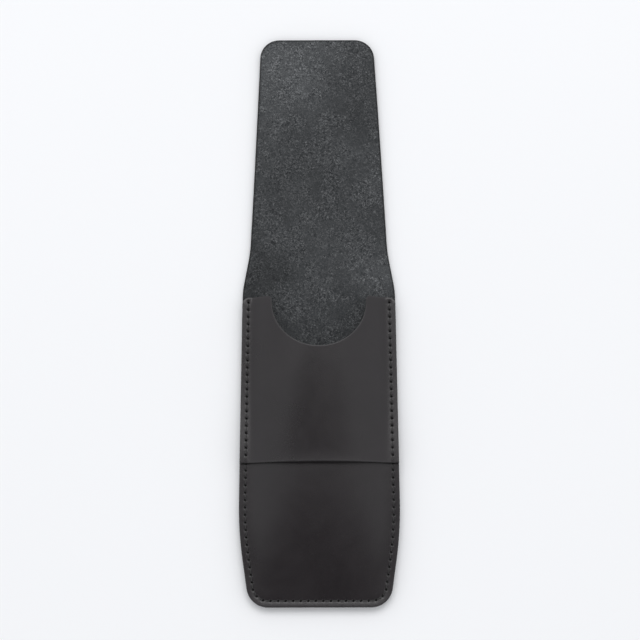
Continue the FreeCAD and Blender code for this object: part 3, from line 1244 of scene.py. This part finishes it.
def suede_nap():
    tree, given = new_group("Suede nap", {"Fibre Scale": 1800.0, "Cloud Scale": 34.0},
                            ("Specks", "Pits", "Clouds", "Height"))
    where = given["Vector"]
    fibre = noise(tree, where, given["Fibre Scale"], 3.0, 0.6, 1.6)

    # Pits come from a coarser noise, read at another place so that they miss the fibres
    pit_scale = times(tree, given["Fibre Scale"], 0.62)
    pits = noise(tree, vector_node(tree, "ADD", where, pit_shift), pit_scale, 2.0, 0.5, 0.3)

    # How rough the nap stands, from lying flat to brushed up
    lying = noise(tree, where, times(tree, given["Cloud Scale"], 2.6), 3.0, 0.6, 0.8)
    rough_nap = remap(tree, lying, 0.36, 0.6, 0.38, 1.05)

    # Curled fibres: thin lines where the noise is near 0.5, broken up by the fine noise
    curls = noise(tree, where, times(tree, given["Fibre Scale"], 0.31), 2.0, 0.5, 1.2)
    curls = math_node(tree, "ABSOLUTE", math_node(tree, "SUBTRACT", curls, 0.5))
    curls = times(tree, remap(tree, curls, 0.052, 0.006), remap(tree, fibre, 0.38, 0.56))
    fine = times(tree, remap(tree, fibre, 0.49, 0.66), 0.5)
    # Painted highlight: pale specks where the fibres catch light, used only for colour
    fibre_glints = math_node(tree, "MULTIPLY_ADD", curls, 0.85, fine)
    height = math_node(tree, "MULTIPLY_ADD", pits, 0.6, fibre)
    height = math_node(tree, "MULTIPLY_ADD", curls, 0.3, height)
    # The specks output is painted highlight and the pits output is painted shade; only the height
    # is shape
    return give_out(
        tree, Specks=times(tree, rough_nap, fibre_glints), Height=times(tree, height, rough_nap),
        Pits=times(tree, rough_nap, remap(tree, pits, 0.52, 0.34)),
        Clouds=noise(tree, where, given["Cloud Scale"], 5.0, 0.62, 0.6))


nap_group = suede_nap()

# %% [markdown]
# ### Stroked patches and worn edges
#
# A hand that strokes suede leaves patches, lighter or darker, with ragged borders. Each is a soft
# ball round a point, made ragged by noise. Along every cut edge the finish is rubbed off unevenly.
# That mask reads the distance to the edge which each point of the mesh kept.

# %% Patches and worn edges


def soft_patch():
    tree, given = new_group(
        "Soft patch", {"Centre": (0.0, 0.0, 0.0), "Radius": 0.03}, ("Mask",))
    away = vector_node(tree, "DISTANCE", given["Vector"], given["Centre"])
    away = math_node(tree, "DIVIDE", away, given["Radius"])
    ragged = math_node(tree, "SUBTRACT", noise(tree, given["Vector"], 70.0), 0.5)
    return give_out(tree, Mask=remap(tree, math_node(tree, "ADD", away, ragged), 1.0, 0.1))


def worn_edge():
    tree, given = new_group("Worn edge", {"Distance": 0.0, "Width": 1.2}, ("Edge",))
    broken = math_node(tree, "ADD", 0.5, noise(tree, given["Vector"], 420.0))
    edge = math_node(tree, "DIVIDE", given["Distance"], times(tree, given["Width"], broken))
    return give_out(tree, Edge=remap(tree, edge, 0.25, 1.0, 1.0, 0.0))


def edge_share(tree, where, share):
    """How worn the leather is near its cut edge."""
    distance = node(tree, "ShaderNodeAttribute", attribute_name="edge_distance").outputs["Fac"]
    return times(tree, use_group(tree, edge_group, where, Distance=distance)["Edge"], share)


patch_group, edge_group = soft_patch(), worn_edge()

# %% [markdown]
# ### Smooth leather and suede
#
# Black leather isn't pure black: it mirrors a pale room softly, and that soft mirror is most of
# what the eye sees. So its base colour is dark and the roughness does the work. Suede mirrors
# nothing, so its tones are in its colour. Each stroked patch is a place across and along the case,
# a radius, and how much lighter or darker it is.

# %% Smooth leather


def smooth_leather():
    material, tree, inputs, where = new_material(
        "smooth_black_leather", (0.0109, 0.0082, 0.0095), 0.3)
    grain = use_group(tree, grain_group, where)
    clouds = remap(tree, grain["Clouds"], 0.3, 0.7)
    colour = blend_colours(tree, clouds, (0.0092, 0.0068, 0.008), (0.0125, 0.0096, 0.011))
    colour = blend_colours(tree, times(tree, grain["Pores"], 0.6), colour, (0.004, 0.004, 0.004))
    colour = blend_colours(tree, edge_share(tree, where, 0.7), colour, (0.02, 0.0168, 0.019))
    rough = math_node(tree, "MULTIPLY_ADD", clouds, 0.05, 0.27)
    rough = math_node(tree, "MULTIPLY_ADD", grain["Pores"], 0.2, rough)
    finish(tree, inputs, colour, rough, grain["Height"], 0.00002, 0.8)
    return material


smooth_face = smooth_leather()
print("made", smooth_face.name)

# %% Suede
stroked_patches = (
    (-14, 256, 40, 0.45), (20, 238, 30, -0.16), (-31, 152, 26, -0.4), (29, 156, 22, 0.22),
    (26, 206, 26, 0.08), (-8, 196, 34, -0.1),
)
patch_height = 2.5


def suede():
    material, tree, inputs, where = new_material(
        "black_suede", (0.05, 0.053, 0.055), 0.95,
        Specular_IOR_Level=0.15, Sheen_Weight=0.12, Sheen_Roughness=0.5)
    nap = use_group(tree, nap_group, where)
    clouds = remap(tree, nap["Clouds"], 0.32, 0.68)
    colour = blend_colours(tree, clouds, (0.032, 0.034, 0.0357), (0.0485, 0.051, 0.053))
    # Painted highlight: pale specks where fibres catch light. Painted shade: dark pits between
    # them.
    colour = blend_colours(tree, times(tree, nap["Specks"], 0.9), colour, (0.165, 0.169, 0.173))
    colour = blend_colours(tree, times(tree, nap["Pits"], 0.7), colour, (0.0125, 0.0135, 0.015))
    stroked = 1.0
    for x, from_bottom, radius, change in stroked_patches:
        centre = (x * MM, (from_bottom - case_length / 2) * MM, patch_height * MM)
        patch = use_group(tree, patch_group, where, Centre=centre, Radius=radius * MM)
        stroked = math_node(tree, "MULTIPLY_ADD", patch["Mask"], change, stroked)
    colour = vector_node(tree, "SCALE", colour, stroked)
    colour = blend_colours(tree, edge_share(tree, where, 0.8), colour, (0.012, 0.012, 0.013))
    finish(tree, inputs, colour, None, nap["Height"], 0.00012, 0.7)
    return material


suede_face = suede()
print("made", suede_face.name, "with", len(stroked_patches), "stroked patches")

# %% [markdown]
# ### Edges, slits and thread
#
# A cut edge shows the layered fibres of the hide, pressed and polished, so its noise is squeezed in
# height. The wall of a slit is torn and matt, and painted nearly black as a painted shade for the
# dark inside of the slit. The thread is twisted and waxed: fluffy fibres under a thin coat that
# shines unevenly, with its raised fluff painted lighter as a painted highlight. Each leather piece
# then gets four materials, in the order of the numbers that its faces carry.

# %% Finish of edges, slits and thread


def burnished_edge():
    material, tree, inputs, where = new_material("burnished_edge", (0.012, 0.0115, 0.0115), 0.5)
    layered = node(tree, "ShaderNodeMapping", {"Vector": where, "Scale": (1.0, 1.0, 6.0)})
    fibres = noise(tree, layered.outputs[0], 900.0, 3.0, 0.6, 0.5)
    pressed = remap(tree, fibres, 0.4, 0.75)
    colour = blend_colours(tree, pressed, (0.009, 0.0085, 0.0085), (0.026, 0.0245, 0.024))
    rough = remap(tree, noise(tree, where, 130.0), 0.3, 0.7, 0.42, 0.62)
    finish(tree, inputs, colour, rough, fibres, 0.00005, 0.5)
    return material


def shaded_slit_wall():
    # Painted shade: the wall is coloured near black for the shade inside the slit.
    material, tree, inputs, where = new_material("shaded_slit_wall", (0.006, 0.006, 0.006), 0.9)
    torn = noise(tree, where, 2600.0)
    colour = blend_colours(tree, torn, (0.003, 0.003, 0.003), (0.01, 0.0095, 0.009))
    finish(tree, inputs, colour, None, torn, 0.0001)
    return material


def waxed_thread():
    material, tree, inputs, where = new_material("waxed_thread", (0.022, 0.021, 0.021), 0.5)
    fluff = noise(tree, where, 5200.0)
    # Painted highlight: the raised fluff is painted lighter where it catches light.
    fluff_glint = remap(tree, fluff, 0.35, 0.7)
    colour = blend_colours(tree, fluff_glint, (0.014, 0.0135, 0.0135), (0.04, 0.0385, 0.038))
    rough = remap(tree, noise(tree, where, 300.0), 0.3, 0.7, 0.38, 0.62)
    finish(tree, inputs, colour, rough, fluff, 0.00004, 0.6)
    return material


edge_finish, slit_shade_finish, thread_finish = burnished_edge(), shaded_slit_wall(), waxed_thread()
print("made", edge_finish.name, slit_shade_finish.name, thread_finish.name)

# %% Materials on the leather
for piece, upper_finish, under_finish in (
        (back_leather, suede_face, smooth_face), (flap_leather, suede_face, smooth_face),
        (lower_panel, smooth_face, suede_face), (upper_panel, smooth_face, suede_face)):
    for one_finish in (upper_finish, under_finish, edge_finish, slit_shade_finish):
        piece.data.materials.append(one_finish)
    print(piece.name, "has", [one_finish.name for one_finish in piece.data.materials])

# %% [markdown]
# ## Sewing it
#
# The ends of a span lie a little to one side of each slit's middle, because the two needles share
# the slit. That gives the front its slightly slanted stitches. The thread is pulled tight, so it
# sinks a little into the leather. The path of one face is a loose edge for each span. The tree
# turns it into thread, and the result is turned into a plain mesh, because only that is exported.

# %% Heights of the thread
thread_radius = 0.24
thread_sink = 0.13
past_slot_edge = 0.2


def front_height(x, place):
    top = upper_top if place > slot_from_bottom + past_slot_edge else lower_top
    return float(top(x, np.array(place, float))) + thread_radius - thread_sink


def under_height(x, place):
    return groove_depth - thread_radius + thread_sink


print("height of the first span over the table, in mm:", round(front_height(*hole_spots[0]), 2))

# %% Front and back spans
slit_share = 0.3
span_crown = 0.06
span_dive = 0.85
slit_angles = np.arctan2(seam_ways[:, 1], seam_ways[:, 0]) + slit_slant
slit_ways = np.stack((np.cos(slit_angles), np.sin(slit_angles)), axis=1)


def set_inputs(modifier, values):
    """Sets a modifier's inputs through the identifiers of their sockets."""
    for item in modifier.node_group.interface.items_tree:
        if item.item_type == "SOCKET" and item.in_out == "INPUT" and item.name in values:
            modifier[item.identifier] = values[item.name]


def sewn(name, side, height):
    """All the spans on one face of the case, as one piece."""
    shift = slit_ways * slit_half_length * slit_share * side
    points = [(*spot, height(*spot))
              for ends in zip(hole_spots[:-1] + shift[:-1], hole_spots[1:] - shift[1:])
              for spot in ends]
    edges = [(i, i + 1) for i in range(0, len(points), 2)]
    mesh = bpy.data.meshes.new(name + "_path")
    mesh.from_pydata(to_metres(np.array(points)), edges, [])
    path = add_object(name + "_path", mesh)
    modifier = path.modifiers.new("Stitches", "NODES")
    modifier.node_group = stitch_tree
    set_inputs(modifier, {
        "Thread Radius": thread_radius * MM, "Crown": side * span_crown * MM,
        "Dive": side * span_dive * MM, "Thread": thread_finish})
    bpy.context.view_layer.update()
    evaluated = path.evaluated_get(bpy.context.evaluated_depsgraph_get())
    spans = bpy.data.meshes.new_from_object(evaluated)
    path.modifiers.remove(modifier)
    bpy.data.objects.remove(path)
    spans.name = name
    spans.polygons.foreach_set("use_smooth", [True] * len(spans.polygons))
    print(name, "has", len(edges), "spans and", len(spans.polygons), "faces")
    return add_object(name, spans)


front_stitches = sewn("front_stitches", 1, front_height)
back_stitches = sewn("back_stitches", -1, under_height)

# %% [markdown]
# ## Joining the pieces to the moving solids
#
# The panels and the thread ride on the pouch. The two halves of the long leather have their
# placement baked into their points, and the solids that the new pieces replace are hidden.

# %% Bodies and hidden solids


for piece in (lower_panel, upper_panel, front_stitches, back_stitches):
    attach(piece, "pouch")
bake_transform(back_leather)
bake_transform(flap_leather)
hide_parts("back_panel", "flap_fold")
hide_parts("flap")
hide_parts("lower_front_panel")
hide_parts("upper_front_panel")
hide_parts("first_needle_thread")
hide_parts("second_needle_thread")

# %% [markdown]
# ## The floor
#
# The case lies on a pale, seamless surface. A large square is enough, because its far edges lie
# outside the picture. It lies a hair below the leather, so that the two never share a plane.

# %% Floor
half_floor = 3.0
floor_drop = 0.2
floor_mesh = bpy.data.meshes.new("floor")
floor_mesh.from_pydata([(x * half_floor, y * half_floor, -floor_drop * MM)
                        for x, y in ((-1, -1), (1, -1), (1, 1), (-1, 1))], [], [(0, 1, 2, 3)])
floor = add_object("floor", floor_mesh)
material, tree, inputs, where = new_material(
    "pale_floor", (0.9, 0.905, 0.915), 0.8, Specular_IOR_Level=0.1)
finish(tree, inputs, blend_colours(
    tree, noise(tree, where, 3.0, 2.0), (0.89, 0.895, 0.905), (0.91, 0.915, 0.925)))
floor_mesh.materials.append(material)
print("the floor is", 2 * half_floor, "m wide")

# %% [markdown]
# ## Room and light
#
# One large soft light stands beyond the case's top end, high up. The room around is pale too, but
# darker overhead. Smooth leather mirrors that room: its flat margins look grey, and its arched
# middle is nearly black. A picture of a real room could light it too, but a plain rule in the
# world's own shader is easier to adjust. How wide the dark part of the room is, and how far it
# leans towards the camera, were set by looking at which parts of the panels go dark.

# %% Room and softbox
dark_lean = math.radians(10)
dark_middle = math.radians(4)
dark_rim = math.radians(35)
softbox_height = math.radians(59)
softbox_distance = 2.0

world = bpy.data.worlds.new("pale_room")
bpy.context.scene.world = world
world.use_nodes = True
tree = world.node_tree
direction = node(tree, "ShaderNodeTexCoord").outputs["Generated"]
dark_way = (0.0, -math.sin(dark_lean), math.cos(dark_lean))
overhead = vector_node(tree, "DOT_PRODUCT", direction, dark_way)
overhead = remap(tree, overhead, math.cos(dark_rim), math.cos(dark_middle))
tree.links.new(blend_colours(tree, overhead, (0.885, 0.895, 0.915), (0.15, 0.15, 0.155)),
               tree.nodes["Background"].inputs["Color"])

light = bpy.data.lights.new("big_softbox", "AREA")
light.shape = "RECTANGLE"
light.size = 1.7
light.size_y = 1.1
light.energy = 14.6
softbox = add_object("big_softbox", light)
softbox.location = Vector((0, math.cos(softbox_height), math.sin(softbox_height)))
softbox.location *= softbox_distance
softbox.rotation_euler = (-softbox.location).to_track_quat("-Z", "Y").to_euler()
print("the softbox stands", round(softbox.location.z, 2), "m high")

# %% [markdown]
# ## The camera
#
# The camera looks down on the case from a little below its middle, almost straight. Its distance,
# height and lens were worked out from how the outline narrows towards the flap. It is placed by
# angles round the point that it looks at, because those are easy to judge and to change.

# %% Camera
camera_distance = 0.94
camera_elevation = math.radians(78.585)
camera_azimuth = math.radians(-0.544)
camera_roll = math.radians(0.397)
camera_target = Vector((0.5, -1.6, 0)) * MM
level = math.cos(camera_elevation)
back = Vector((math.sin(camera_azimuth) * level, -math.cos(camera_azimuth) * level,
               math.sin(camera_elevation)))
camera_data = bpy.data.cameras.new("camera")
camera_data.lens = 113.85
camera_data.sensor_width = 36
camera_data.clip_start = 0.01
camera = add_object("camera", camera_data)
camera.location = camera_target + back * camera_distance
camera.rotation_mode = "QUATERNION"
camera.rotation_quaternion = back.to_track_quat("Z", "Y") @ Quaternion((0, 0, 1), camera_roll)
bpy.context.scene.camera = camera
bpy.context.view_layer.update()
print("the camera's right is", [round(v, 4) for v in camera.matrix_world.to_3x3().col[0]])

# %% Colour
bpy.context.scene.view_settings.view_transform = "Standard"
